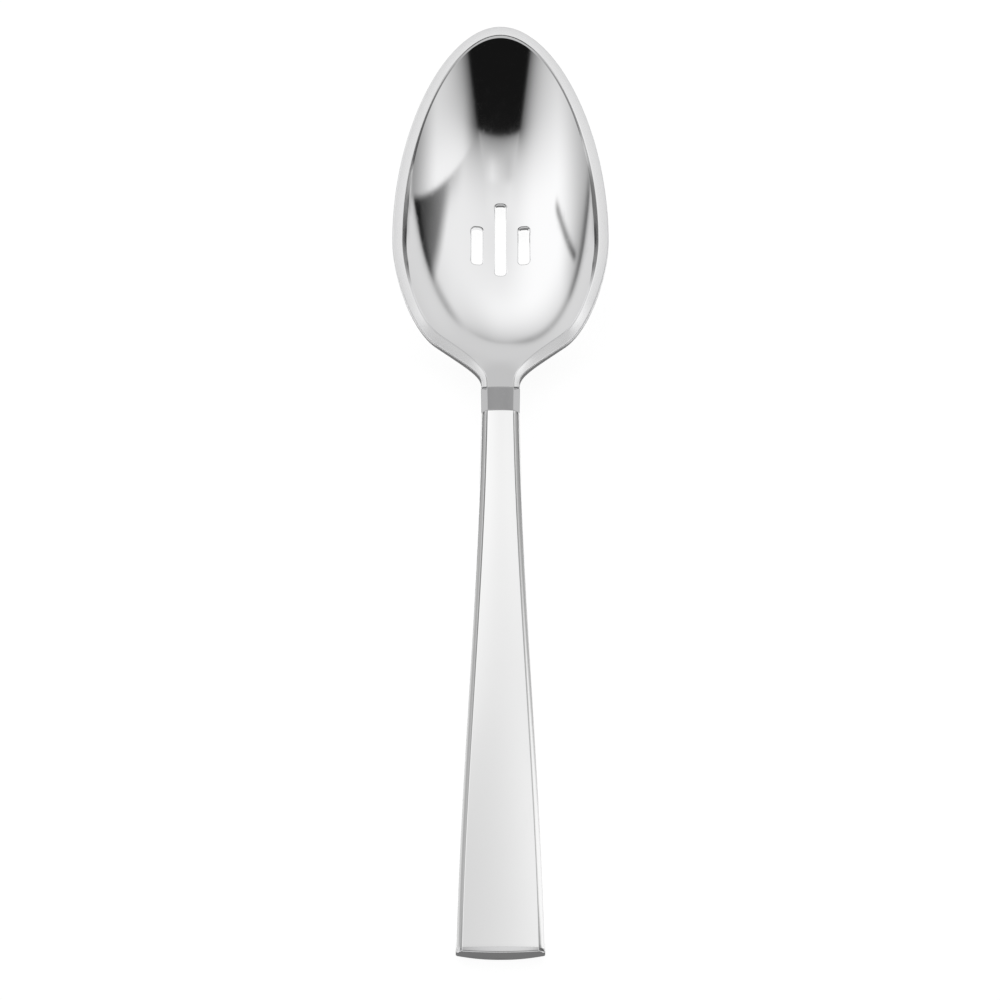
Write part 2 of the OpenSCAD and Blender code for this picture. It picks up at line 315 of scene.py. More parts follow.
def rim_profile(land, beta):
    """From the dish's edge over the land and round the rim: distance in from the outline,
    height above the land, the normal outwards and upwards, and how satin it is."""
    k = land / RIM_LAND
    r1, r2 = STEP_TOP_R * k, STEP_FOOT_R * k
    drop = STEP_DROP * (0.5 + 0.5 * min(1, max(0, 2 * k - 1)))
    flat = LAND_FLAT * k
    steep = max(STEP_ANGLE, beta + LEAST_TURN)
    s, c, t = math.sin(steep), math.cos(steep), math.tan(beta)
    wall = (drop + t * (r1 * s + r2 * (s - math.sin(beta)) + flat - land)
            - r1 * (1 - c) - r2 * (math.cos(beta) - c)) / (s - t * c)
    wall = max(wall, LEAST_WALL)
    path = []
    foot_d = flat + r1 * s + wall * c + r2 * s
    foot_z = -r1 * (1 - c) - wall * s + r2 * c
    for a in np.linspace(beta, steep, ROUND_STEPS):
        path.append((foot_d - r2 * math.sin(a), foot_z - r2 * math.cos(a), -math.sin(a), math.cos(a), 0))
    for a in np.linspace(steep, 0, ROUND_STEPS):
        path.append((flat + r1 * math.sin(a), -r1 * (1 - math.cos(a)), -math.sin(a), math.cos(a), 0.5))
    for a in np.linspace(math.pi / 2, 0, ROUND_STEPS):
        path.append((RIM_OUTER_R * (1 - math.cos(a)), -RIM_OUTER_R * (1 - math.sin(a)),
                     math.cos(a), math.sin(a), 1))
    return path


def rim_side(o, n, land, top, beta):
    """The rim's right side at one row, from the dish's edge round to the underside."""
    points, normals, satin = [], [], []
    for d, z, out, up, worn in rim_profile(land, beta):
        points.append([o[0] - n[0] * d, o[1] - n[1] * d, top + z])
        normals.append([n[0] * out, n[1] * out, up])
        satin.append(worn)
    zx, zy = slope(outside_z, o[0], o[1])
    under = math.atan(max(0.0, zx * n[0] + zy * n[1]))
    centre = float(outside_z(o[0], o[1])) - math.tan(under) * RIM_UNDER_R + RIM_UNDER_R / math.cos(under)
    for a in np.linspace(0, math.pi / 2 - under, ROUND_STEPS):
        d = RIM_UNDER_R * (1 - math.cos(a))
        points.append([o[0] - n[0] * d, o[1] - n[1] * d, centre - RIM_UNDER_R * math.sin(a)])
        normals.append([n[0] * math.cos(a), n[1] * math.cos(a), -math.sin(a)])
        satin.append(0.5)
    return np.array(points), np.array(normals), np.array(satin)


def step_crease_shade(o, n, count):
    """Painted shade: the step's colour darkens in a line where it runs along the sides."""
    along = (np.clip((n[0] - CREASE_SHADE_SIDE) / CREASE_SHADE_SIDE_RUN, 0, 1)
             * np.clip((TIP_Y - CREASE_SHADE_BACK - o[1]) / CREASE_SHADE_BACK_RUN, 0, 1))
    crease_shade = np.zeros(count)
    wide = slice(2, 2 * ROUND_STEPS - 3)
    crease_shade[wide] = along * np.sin(np.linspace(0.15, 0.85, wide.stop - wide.start) * math.pi)
    return crease_shade


def bowl_rows():
    """The bowl as rows from tip to neck; each row runs over the dish, the right rim, the
    underside and the left rim."""
    shares = (np.linspace(0, 1, TIP_ROWS) ** TIP_CROWDING, np.linspace(0, 1, SIDE_ROWS),
              np.linspace(0, 1, KNEE_ROWS))
    outer, inner = outline(0.0, *shares), outline(RIM_LAND, *shares)
    across = np.linspace(-1, 1, DISH_COLUMNS)
    points, normals, marks = [], [], []
    for o, e in zip(outer, inner):
        land = float(np.linalg.norm(o - e))
        n = (o - e) / land
        zx, zy = slope(dish_top, e[0], e[1])
        beta = math.atan(max(0.0, zx * n[0] + zy * n[1]))
        right, right_n, satin = rim_side(o, n, land, float(inside_z(e[0], e[1])), beta)
        left, left_n = right[::-1] * [-1, 1, 1], right_n[::-1] * [-1, 1, 1]
        x, y = across * right[0, 0], np.full(across.shape, right[0, 1])
        lift = right[0, 2] - float(dish_top(right[0, 0], right[0, 1]))
        dish = np.c_[x, y, dish_top(x, y) + lift * across ** 8]
        dish_n = surface_normal(dish_top, x, y, True)
        x, y = across[::-1] * right[-1, 0], np.full(across.shape, right[-1, 1])
        back = np.c_[x, y, outside_z(x, y)]
        back_n = surface_normal(outside_z, x, y, False)
        dish[0], dish[-1], back[0], back[-1] = left[-1], right[0], right[-1], left[0]
        points.append(np.vstack([dish, right[1:], back[1:], left[1:]]))
        normals.append(np.vstack([dish_n, right_n[1:], back_n[1:], left_n[1:]]))
        # Each point's satin share, and its share of painted shade in the step's crease
        bare, crease_shade = np.zeros(DISH_COLUMNS), step_crease_shade(o, n, len(right))
        marks.append(np.c_[np.r_[bare, satin[1:], bare[1:], satin[::-1][1:]],
                           np.r_[bare, crease_shade[1:], bare[1:], crease_shade[::-1][1:]]])
    points = np.array(points)
    right_rim = slice(DISH_COLUMNS, DISH_COLUMNS + len(right) - 1)
    left_rim = slice(points.shape[1] - len(left) + 1, points.shape[1])
    lean = np.clip((NECK_Y + KNEE_RUN + LEAN_RUN - outer[:, 1]) / LEAN_RUN, 0, 1) * LAND_LEAN
    normals = lean_land(np.array(normals), lean, right_rim, left_rim)
    normals = square_rim(points, normals, np.r_[right_rim, left_rim])
    return points, normals, np.array(marks)


def lean_land(normals, lean, right_rim, left_rim):
    """Turn what faces up on the rim towards the dish's edge beside it, by each row's lean."""
    for edge, rim in ((right_rim.start - 1, right_rim), (0, left_rim)):
        share = lean[:, None, None] * np.maximum(normals[:, rim, 2:], 0) ** 2
        normals[:, rim] = normals[:, rim] * (1 - share) + normals[:, edge:edge + 1] * share
    return normals


def square_rim(points, normals, rim):
    """The rows cross the rim at a slant, so its normals are turned square to its run."""
    run = np.gradient(points, axis=0) * [1, 1, 0]
    run /= np.maximum(np.linalg.norm(run, axis=2, keepdims=True), 1e-9)
    turned = normals[:, rim] - (normals[:, rim] * run[:, rim]).sum(2, keepdims=True) * run[:, rim]
    normals[:, rim] = turned / np.maximum(np.linalg.norm(turned, axis=2, keepdims=True), 1e-9)
    normals[:, -1] = normals[:, 0]
    return normals


def slot_list():
    return [(0.0, WIDE_Y + LONG_SLOT_AHEAD, LONG_SLOT),
            (-SLOT_PITCH, WIDE_Y + SHORT_SLOT_AHEAD, SHORT_SLOT),
            (SLOT_PITCH, WIDE_Y + SHORT_SLOT_AHEAD, SHORT_SLOT)]


def slot_ring(run, grow, steps=9):
    """Rounded rectangle of a slot, grown outwards all round."""
    ring = []
    side, end = SLOT_W / 2 - SLOT_CORNER, run / 2 - SLOT_CORNER
    for sx, sy, first in ((1, 1, 0), (-1, 1, 90), (-1, -1, 180), (1, -1, 270)):
        for a in np.radians(np.linspace(first, first + 90, steps)):
            reach = SLOT_CORNER + grow
            ring.append([sx * side + reach * math.cos(a), sy * end + reach * math.sin(a)])
    return np.array(ring + ring[:1])


def slot_punch(x0, y0, run):
    """A punch that flares at both faces, so that the slot's edges come out softened."""
    rings = []
    flare = [(SLOT_SOFT * (1 - math.sin(a)), SLOT_SOFT * (1 - math.cos(a)))
             for a in np.linspace(0, math.pi / 2, 4)]
    above = [(SLOT_SOFT + PUNCH_PAST, dish_top, PUNCH_PAST)] + [(g, dish_top, -d) for g, d in flare]
    below = ([(g, outside_z, d) for g, d in flare[::-1]]
             + [(SLOT_SOFT + PUNCH_PAST, outside_z, -PUNCH_PAST)])
    for grow, surface, lift in above + below:
        ring = slot_ring(run, grow)
        x, y = ring[:, 0] + x0, ring[:, 1] + y0
        rings.append(np.c_[x, y, surface(x, y) + lift])
    bm = grid_mesh(np.array(rings))
    bmesh.ops.remove_doubles(bm, verts=bm.verts[:], dist=WELD)
    bmesh.ops.holes_fill(bm, edges=[e for e in bm.edges if e.is_boundary], sides=0)
    bmesh.ops.recalc_face_normals(bm, faces=bm.faces[:])
    return as_object("slot_punch", bm)


def slot_normals(at):
    """Normals round the slots: the dish, the underside, the walls and their rounded edges."""
    near = np.zeros(len(at), bool)
    out = np.zeros((len(at), 3))
    side = SLOT_W / 2 - SLOT_CORNER
    for x0, y0, run in slot_list():
        end = run / 2 - SLOT_CORNER
        dx, dy = at[:, 0] - x0, at[:, 1] - y0
        ox, oy = dx - np.clip(dx, -side, side), dy - np.clip(dy, -end, end)
        reach = np.hypot(ox, oy)
        here = reach < SLOT_CORNER + SLOT_SOFT + 0.02
        wall = -np.stack([ox, oy, np.zeros_like(ox)], 1) / np.maximum(reach, 1e-6)[:, None]
        x, y = at[:, 0], at[:, 1]
        top_n, low_n = surface_normal(dish_top, x, y, True), surface_normal(outside_z, x, y, False)
        down = np.clip((dish_top(x, y) - at[:, 2]) / SLOT_SOFT, 0, 1)
        up = np.clip((at[:, 2] - outside_z(x, y)) / SLOT_SOFT, 0, 1)
        # On the quarter rounds the normal turns from the face to the wall
        for share, face_n in ((down, top_n), (up, low_n)):
            turn = np.arccos(1 - share)
            mix = face_n * np.cos(turn)[:, None] + wall * np.sin(turn)[:, None]
            use = here & (share < 1)
            out[use] = mix[use]
        rest = here & (down >= 1) & (up >= 1)
        out[rest] = wall[rest]
        near |= here
    size = np.linalg.norm(out, axis=1, keepdims=True)
    return near, (out / np.maximum(size, 1e-6))[near]


# Handle

def handle_half(u):
    return (NECK_W + (END_W - NECK_W) * bezier(*TAPER, u)) / 2


def handle_top(u):
    return bezier(HANDLE_RISE, HANDLE_RISE - HEEL_FALL, END_T + END_FALL, END_T, u)


def handle_under(u):
    return handle_top(u) - HEEL_T - (END_T - HEEL_T) * u - REST_GRIND


def share_at(y):
    return (SHELL_Y - y) / SHELL_RUN


def tang_bar(name, gap, ahead):
    """The bar that runs from the neck into the handle, laid on its slope."""
    a = np.array([NECK_Y, NECK_RISE - NECK_T / 2 + TANG_LIFT])
    u = share_at(NECK_Y - TANG_RUN)
    b = np.array([NECK_Y - TANG_RUN, (handle_top(u) + handle_under(u)) / 2 + TANG_END_LIFT])
    run = float(np.linalg.norm(b - a))
    tilt = math.atan2(b[1] - a[1], TANG_RUN)
    low = (-TANG_W / 2 - gap, -run - gap, -TANG_T / 2 - gap)
    high = (TANG_W / 2 + gap, ahead, TANG_T / 2 + gap)
    bm = bmesh.new()
    bmesh.ops.create_cube(bm, size=1.0)
    bm.verts.layers.float_vector.new("polish")
    bm.verts.layers.float.new("satin")
    bm.verts.layers.float.new("crease")
    for v in bm.verts:
        v.co = Vector([(low[i] if v.co[i] < 0 else high[i]) * MM for i in range(3)])
    if not gap:
        bmesh.ops.bevel(bm, geom=bm.edges[:], offset=TANG_EDGE_R * MM, offset_type="OFFSET", segments=2,
                        profile=0.5, material=-1, affect="EDGES", clamp_overlap=True)
    turn = Matrix.Rotation(-tilt, 4, "X")
    turn.translation = (0, a[0] * MM, a[1] * MM)
    bmesh.ops.transform(bm, matrix=turn, verts=bm.verts[:])
    return as_object(name, bm)


def soften(corners, steps=6):
    """corners: x, z, radius. Gives points and outward directions, anticlockwise."""
    pts = np.array([c[:2] for c in corners], float)
    out, dirs = [], []
    for i, p in enumerate(pts):
        d1, d2 = p - pts[i - 1], pts[(i + 1) % len(pts)] - p
        l1, l2 = np.linalg.norm(d1), np.linalg.norm(d2)
        d1, d2 = d1 / l1, d2 / l2
        n1, n2 = np.array([d1[1], -d1[0]]), np.array([d2[1], -d2[0]])
        r = corners[i][2]
        if r <= 0:
            out.append(p)
            dirs.append((n1 + n2) / np.linalg.norm(n1 + n2))
            continue
        turn = math.atan2(d1[0] * d2[1] - d1[1] * d2[0], float(d1 @ d2))
        bend = math.copysign(1, turn)
        reach = min(r * math.tan(abs(turn) / 2), 0.45 * l1, 0.45 * l2)
        r = reach / math.tan(abs(turn) / 2)
        centre = p - d1 * reach - n1 * r * bend
        for a in np.linspace(0, turn, steps):
            n = np.array([n1[0] * math.cos(a) - n1[1] * math.sin(a),
                          n1[0] * math.sin(a) + n1[1] * math.cos(a)])
            out.append(centre + n * r * bend)
            dirs.append(n)
    return np.array(out), np.array(dirs)


def over(half, top, inset, edge, bulge=BEVEL_BULGE):
    """Right shoulder, bevel, face, bevel and left shoulder."""
    a = np.array([half - inset, top - FACE_CROWN - BEVEL_DROP - inset * CORNER_DROP])
    b = np.array([half - BEVEL_W - inset * CORNER_SIDE, top - inset - FACE_CROWN])
    out = np.array([b[1] - a[1], a[0] - b[0]]) / np.linalg.norm(b - a)
    bevel = [(*(a + (b - a) * s + out * bulge * 4 * s * (1 - s)), 0) for s in (0.25, 0.5, 0.75)]
    right = [(*a, edge)] + bevel
    face = [(s * b[0], top - inset - FACE_CROWN * s * s, edge if abs(s) == 1 else 0)
            for s in np.linspace(1, -1, FACE_COLUMNS)]
    return right + face + [(-x, z, r) for x, z, r in right[::-1]]


def below(half, under, inset, edge):
    """Left bottom corner to right bottom corner under the bottom."""
    side = half - inset
    return [(s * side, under + inset + UNDER_CROWN * (s * side / half) ** 2,
             edge if abs(s) == 1 else 0) for s in np.linspace(-1, 1, FACE_COLUMNS)]


def top_section(half, top, under, inset):
    seam = top - SEAM_DROP
    inner = over(half, top, SHELL_T, INNER_EDGE_R, 0.0)[::-1]
    return ([(half - inset, seam, SEAM_EDGE_R)] + over(half, top, inset, SHELL_EDGE_R)
            + [(-half + inset, seam, SEAM_EDGE_R), (-half + SHELL_T, seam, INNER_SEAM_R)]
            + inner + [(half - SHELL_T, seam, INNER_SEAM_R)])


def bottom_section(half, top, under, inset):
    seam = top - SEAM_DROP
    inner = below(half, under, SHELL_T, INNER_EDGE_R)[::-1]
    return ([(-half + inset, seam, SEAM_EDGE_R)] + below(half, under, inset, SHELL_EDGE_R)
            + [(half - inset, seam, SEAM_EDGE_R), (half - SHELL_T, seam, INNER_SEAM_R)]
            + inner + [(-half + SHELL_T, seam, INNER_SEAM_R)])


def whole_section(half, top, under, inset):
    return over(half, top, inset, SHELL_EDGE_R) + below(half, under, inset, SHELL_EDGE_R)


def loft(name, section, stations, bow=None):
    """stations: half width, top, underside, inset and y, from the bowl's end to the far end."""
    points, normals = [], []
    for half, top, under, inset, y in stations:
        pts, dirs = soften(section(half, top, under, inset))
        points.append(np.c_[pts[:, 0], np.full(len(pts), y), pts[:, 1]])
        normals.append(np.c_[dirs[:, 0], np.zeros(len(dirs)), dirs[:, 1]])
    points, normals = np.array(points), np.array(normals)
    if bow:
        points[..., 1] += bow(points[..., 0], points[..., 1])
    run = np.gradient(points, axis=0)
    run /= np.maximum(np.linalg.norm(run, axis=2, keepdims=True), 1e-9)
    normals -= (normals * run).sum(2, keepdims=True) * run
    normals /= np.maximum(np.linalg.norm(normals, axis=2, keepdims=True), 1e-9)
    ground = points[..., 2] < 0
    points[ground, 2] = 0.0
    normals[ground] = (0, 0, -1)
    points = np.concatenate([points, points[:, :1]], axis=1)
    normals = np.concatenate([normals, normals[:, :1]], axis=1)
    return steel_piece(name, points, normals)


def station(y, inset=0.0):
    u = share_at(y)
    return (float(handle_half(u)), float(handle_top(u)), float(handle_under(u)), inset, y)


def rounded_end(y, into, radius, steps=4):
    """Stations that round off an end at y; into is the way along y back into the piece."""
    return [(radius * (1 - math.sin(a)), y + into * radius * (1 - math.cos(a)))
            for a in np.linspace(0, math.pi / 2, steps)]


def shell_stations():
    front = [station(y, inset) for inset, y in rounded_end(SHELL_Y, -1, SEAM_EDGE_R)]
    back = [station(y, inset) for inset, y in rounded_end(END_Y + PLATE_T, 1, PLATE_SEAM_R)]
    ys = np.linspace(SHELL_Y, END_Y + PLATE_T, SHELL_ROWS)[1:-1]
    return front + [station(y) for y in ys] + back[::-1]


def collar_stations():
    top = NECK_RISE + COLLAR_STEP
    a = (NECK_W / 2 + COLLAR_STEP / 2, top, top - COLLAR_T)
    b = station(SHELL_Y)[:3]

    def between(y, inset):
        s = (NECK_Y - y) / COLLAR_RUN
        return (*[p + (q - p) * s for p, q in zip(a, b)], inset, y)

    rows = [between(y, inset) for inset, y in rounded_end(NECK_Y, -1, COLLAR_EDGE_R)]
    rows += [between(y, 0.0) for y in np.linspace(NECK_Y, SHELL_Y, 18)[1:-1]]
    rows += [between(y, inset) for inset, y in rounded_end(SHELL_Y, 1, SEAM_EDGE_R)[::-1]]
    inside = SHELL_T + FIT_GAP
    rows.append(between(SHELL_Y, inside - TUCK))
    rows += [station(y, inside) for y in np.linspace(SHELL_Y - TUCK, SHELL_Y - COLLAR_SPIGOT, 4)]
    return rows


def plate_stations():
    inside = SHELL_T + FIT_GAP
    join = END_Y + PLATE_T
    rows = [station(y, inside) for y in np.linspace(join + PLATE_SPIGOT, join + TUCK, 4)]
    rows.append(station(join, inside - TUCK))
    rows += [station(y, inset) for inset, y in rounded_end(join, -1, PLATE_SEAM_R)]
    rows += [station(y, inset) for inset, y in rounded_end(END_Y, 1, PLATE_EDGE_R, 9)[::-1]]
    return rows


def end_bow(x, y):
    """The plate's end is bowed: its corners lie back towards the bowl."""
    reach = np.clip((END_Y + PLATE_T - y) / (PLATE_T - PLATE_EDGE_R), 0, 1)
    return END_BOW * (x / (END_W / 2)) ** 2 * reach


# Steel and resin

# How far the clouds of the polish darken the steel
TARNISH = 0.985
# Painted shade: the dark colour laid in the step round the bowl
CREASE_SHADE_COLOUR = (0.34, 0.34, 0.34)
BOWL_COLOUR, BOWL_ROUGH = (0.86, 0.86, 0.865), 0.05
SATIN_COLOUR, SATIN_ROUGH = (0.79, 0.79, 0.795), 0.28
SHELL_COLOUR, SHELL_ROUGH = (0.97, 0.97, 0.97), 0.06
# The collar's colour is darkened: painted shade, standing in for the darker reflections its facets show
COLLAR_SHADED_COLOUR, COLLAR_ROUGH = (0.49, 0.49, 0.495), 0.07
PLATE_COLOUR, PLATE_ROUGH = (0.84, 0.84, 0.845), 0.07
# Hairlines per metre along X, Y and Z: few along the way each piece was polished
BOWL_GRAIN = (900, 350, 900)
SHELL_GRAIN = (2600, 45, 2600)
COLLAR_GRAIN = (2600, 90, 2600)
PLATE_GRAIN = (60, 2600, 2600)
HAIR_DEPTH = 0.000002
CLOUDS = 55.0
# The spans of the noises that show: clouds change the roughness by this share, hairs add to it
CLOUD_SPAN, CLOUD_SWING = (0.3, 0.7), 0.25
HAIR_SPAN, HAIR_ROUGH = (0.56, 0.78), 0.05
RESIN_DARK, RESIN_LIGHT = (0.20, 0.20, 0.19, 1), (0.36, 0.36, 0.34, 1)
RESIN_GRIT = 900.0
GRIT_DEPTH = 0.00005


def node(tree, kind, **values):
    """A shader node with its sockets or properties set by name."""
    n = tree.nodes.new(kind)
    for key, value in values.items():
        if hasattr(n, key):
            setattr(n, key, value)
        else:
            n.inputs[key.replace("_", " ")].default_value = value
    return n


def span_to(tree, value, span, result):
    """Carry a span of a value over to a span of results."""
    n = node(tree, "ShaderNodeMapRange")
    for socket, number in zip(("From Min", "From Max", "To Min", "To Max"), (*span, *result)):
        n.inputs[socket].default_value = number
    tree.links.new(value, n.inputs["Value"])
    return n


def bare_material(name):
    """A material with nothing but its output, which lights nothing by itself."""
    m = bpy.data.materials.new(name)
    m.use_nodes = True
    m.node_tree.nodes.clear()
    m.cycles.emission_sampling = "NONE"
    return m, node(m.node_tree, "ShaderNodeOutputMaterial")


def steel(name, colour, rough, grain, satin_colour=None, satin_rough=0.0):
    """Polished steel: soft clouding of the polish, hairlines along grain, and satin edges, with painted
    shade in the step's crease.
    """
    m = bpy.data.materials.new(name)
    m.use_nodes = True
    t = m.node_tree
    b = t.nodes["Principled BSDF"]
    b.inputs["Metallic"].default_value = 1.0
    place = node(t, "ShaderNodeTexCoord")
    lay_out = node(t, "ShaderNodeMapping")
    lay_out.inputs["Scale"].default_value = grain
    t.links.new(place.outputs["Object"], lay_out.inputs["Vector"])
    hair = node(t, "ShaderNodeTexNoise", Scale=1.0, Detail=3.0, Roughness=0.6)
    t.links.new(lay_out.outputs[0], hair.inputs["Vector"])
    cloud = node(t, "ShaderNodeTexNoise", Scale=CLOUDS, Detail=2.0, Roughness=0.5)
    t.links.new(place.outputs["Object"], cloud.inputs["Vector"])
    swing = (rough * (1 - CLOUD_SWING), rough * (1 + CLOUD_SWING))
    tone = span_to(t, cloud.outputs["Fac"], CLOUD_SPAN, swing)
    line = span_to(t, hair.outputs["Fac"], HAIR_SPAN, (0.0, HAIR_ROUGH))
    both = node(t, "ShaderNodeMath", operation="ADD")
    t.links.new(tone.outputs[0], both.inputs[0])
    t.links.new(line.outputs[0], both.inputs[1])
    rougher = both
    tint = node(t, "ShaderNodeMix", data_type="RGBA")
    tint.inputs[6].default_value = (*colour, 1)
    tint.inputs[7].default_value = (*(c * TARNISH for c in colour), 1)
    t.links.new(cloud.outputs["Fac"], tint.inputs["Factor"])
    shown = tint
    if satin_colour:
        worn = node(t, "ShaderNodeAttribute", attribute_name="satin")
        rougher = node(t, "ShaderNodeMath", operation="MULTIPLY_ADD")
        rougher.inputs[1].default_value = satin_rough
        t.links.new(worn.outputs["Fac"], rougher.inputs[0])
        t.links.new(both.outputs[0], rougher.inputs[2])
        shown = node(t, "ShaderNodeMix", data_type="RGBA")
        t.links.new(tint.outputs[2], shown.inputs[6])
        shown.inputs[7].default_value = (*satin_colour, 1)
        t.links.new(worn.outputs["Fac"], shown.inputs["Factor"])
        # Painted shade: the crease attribute darkens the colour in the step towards a dark grey
        crease_shade_share = node(t, "ShaderNodeAttribute", attribute_name="crease")
        unshaded, shown = shown, node(t, "ShaderNodeMix", data_type="RGBA")
        t.links.new(unshaded.outputs[2], shown.inputs[6])
        shown.inputs[7].default_value = (*CREASE_SHADE_COLOUR, 1)
        t.links.new(crease_shade_share.outputs["Fac"], shown.inputs["Factor"])
    t.links.new(rougher.outputs[0], b.inputs["Roughness"])
    t.links.new(shown.outputs[2], b.inputs["Base Color"])
    bump = node(t, "ShaderNodeBump")
    bump.inputs["Strength"].default_value = 0.25
    bump.inputs["Distance"].default_value = HAIR_DEPTH
    t.links.new(hair.outputs["Fac"], bump.inputs["Height"])
    t.links.new(bump.outputs[0], b.inputs["Normal"])
    return m


def resin(name):
    """Cast resin with a fine grit."""
    m = bpy.data.materials.new(name)
    m.use_nodes = True
    t = m.node_tree
    b = t.nodes["Principled BSDF"]
    b.inputs["Roughness"].default_value = 0.62
    place = node(t, "ShaderNodeTexCoord")
    grit = node(t, "ShaderNodeTexNoise", Scale=RESIN_GRIT, Detail=4.0, Roughness=0.6)
    t.links.new(place.outputs["Object"], grit.inputs["Vector"])
    ramp = node(t, "ShaderNodeValToRGB")
    ramp.color_ramp.elements[0].color = RESIN_DARK
    ramp.color_ramp.elements[1].color = RESIN_LIGHT
    t.links.new(grit.outputs["Fac"], ramp.inputs["Fac"])
    t.links.new(ramp.outputs["Color"], b.inputs["Base Color"])
    bump = node(t, "ShaderNodeBump")
    bump.inputs["Strength"].default_value = 0.4
    bump.inputs["Distance"].default_value = GRIT_DEPTH
    t.links.new(grit.outputs["Fac"], bump.inputs["Height"])
    t.links.new(bump.outputs[0], b.inputs["Normal"])
    return m


# The pieces

points, normals, marks = bowl_rows()
bowl = steel_piece("bowl_piece", points, normals, marks)
unite_or_cut(bowl, [tang_bar("tang", 0.0, ROOT)], "UNION")
unite_or_cut(bowl, [slot_punch(*s) for s in slot_list()], "DIFFERENCE")
polish(bowl, near_slots=True)

collar = loft("collar_piece", whole_section, collar_stations())
unite_or_cut(collar, [tang_bar("tang_pocket", FIT_GAP, POCKET_PAST)], "DIFFERENCE")
polish(collar)
top_shell = loft("top_shell_piece", top_section, shell_stations())
polish(top_shell)
bottom_shell = loft("bottom_shell_piece", bottom_section, shell_stations())
polish(bottom_shell)
plate = loft("end_plate_piece", whole_section, plate_stations(), end_bow)
polish(plate)

bowl_steel = steel("bowl_steel_polish", BOWL_COLOUR, BOWL_ROUGH, BOWL_GRAIN, SATIN_COLOUR, SATIN_ROUGH)
shell_steel = steel("shell_steel_polish", SHELL_COLOUR, SHELL_ROUGH, SHELL_GRAIN)
collar_steel = steel("collar_steel_polish", COLLAR_SHADED_COLOUR, COLLAR_ROUGH, COLLAR_GRAIN)
plate_steel = steel("plate_steel_polish", PLATE_COLOUR, PLATE_ROUGH, PLATE_GRAIN)

for piece, covered, finish, where in (
        (bowl, "bowl", bowl_steel, "bowl_steel"),
        (collar, "neck_collar", collar_steel, "collar_steel"),
        (top_shell, "handle_top_shell", shell_steel, "shell_steel"),
        (bottom_shell, "handle_bottom_shell", shell_steel, "shell_steel"),
        (plate, "end_plate", plate_steel, "plate_steel")):
    piece.data.materials.clear()
    piece.data.materials.append(finish)
    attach(piece, "root")
    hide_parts(covered)

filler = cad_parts["tang_filler"]
filler.data.materials.clear()
filler.data.materials.append(resin("filler_resin_cast"))


# Studio: a light tent with a softbox overhead, cards at the sides and a flag at the camera

# Directions in the tent are degrees from straight up, ex towards +X and ey towards +Y. Tones
# are 0 to 255, as they show in polished steel. A pair of degrees is where a tone starts to
# change and where it has changed.
TENT_R = 6.0
TENT_REACH = 102.0
TENT_COLUMNS, TENT_ROWS = 720, 300
DARKEST = 12.0
# The share of the tent's light that polished steel sends back
STEEL_SHARE = 0.86

# The softbox's outline: its middle, and how far and how squarely it reaches each way
BOX_MIDDLE = -14.0
BOX_LEFT_REACH, BOX_LEFT_ROUND = 65.0, 2.55
BOX_RIGHT_REACH, BOX_RIGHT_ROUND = 95.0, 2.35
BOX_TOP = 57.0
# Its cloth, and what each stretch of it gains or loses
BOX_TONE = 250.0
BOX_LEFT_GAIN, BOX_LEFT_RUN = 3.0, (-2, 35)
BOX_RIGHT_LOSS, BOX_RIGHT_RUN = 14.0, (-2, 38)
BOX_MIDDLE_LOSS, BOX_MIDDLE_RUN = 22.0, (22, 51)
BOX_FRONT_LOSS, BOX_FRONT_RUN = 35.0, (-4, 20)
BOX_END_LOSS, BOX_END_RUN = 98.0, (51, 81)
# It dims towards its hem, from this share of the way out, less to the left and the right
HEM_START, HEM_LOSS, HEM_RUN = 0.7, 59.0, (20, 36)
HEM_LEFT_GAIN, HEM_LEFT_RUN = 14.0, (20, 50)
HEM_RIGHT_GAIN, HEM_RIGHT_RUN = 41.0, (10, 45)
# A seam in its cloth, near the left end
CLOTH_SEAM_AT, CLOTH_SEAM_TURN = (-50.4, 20.9), math.radians(131.5)
CLOTH_SEAM_LOSS, CLOTH_SEAM_HALF_W = 98.0, 1.15
CLOTH_SEAM_START, CLOTH_SEAM_STOP = (-1, 3), (18, 21)

# The side card on the right: its slanting top edge, its cloth, and the shade above the edge
CARD_EDGE_AT, CARD_EDGE_SLOPE, CARD_EDGE_SOFT = (42.0, 13.0), 0.48, 0.8
CARD_TONE, CARD_TOP_GAIN, CARD_TOP_RUN = 222.0, 22.0, (-15.5, -1)
CARD_END_LOSS, CARD_END_RUN = 144.0, (56, 84)
CARD_START = (24, 38)
CARD_SHADE, CARD_SHADE_HALF_W, CARD_SHADE_START = 35.0, 4.3, (34, 46)

# The gap between the softbox's right end and the side card, darker to the right
GAP_EDGE_AT, GAP_EDGE_SLOPE, GAP_EDGE_SOFT = (49.4, 20.0), 0.485, 4.0
GAP_AT, GAP_TONE = (54.0, 30.0), 136.0
GAP_FALL, GAP_RISE = 5.6, 0.7
GAP_DARKEST, GAP_LIGHTEST = 40.0, 170.0

# The room behind the softbox, and the dark line of the softbox's hem
ROOM_TONE, ROOM_START = 206.0, (-0.4, 1.0)
ROOM_FAR_LOSS, ROOM_FAR_RUN = 12.5, (5, 16)
ROOM_SIDE_GAIN, ROOM_SIDE_RUN = 9.0, (30, 60)
LINE_LOSS, LINE_INNER_W, LINE_OUTER_W = 6.0, 1.8, 1.5
LINE_LEFT_LOSS, LINE_LEFT_RUN = 26.0, (4, 30)
LINE_END_LOSS, LINE_END_RUN = 20.0, (56, 60)
LINE_RIGHT_LOSS, LINE_RIGHT_RUN = 38.0, (30, 48)

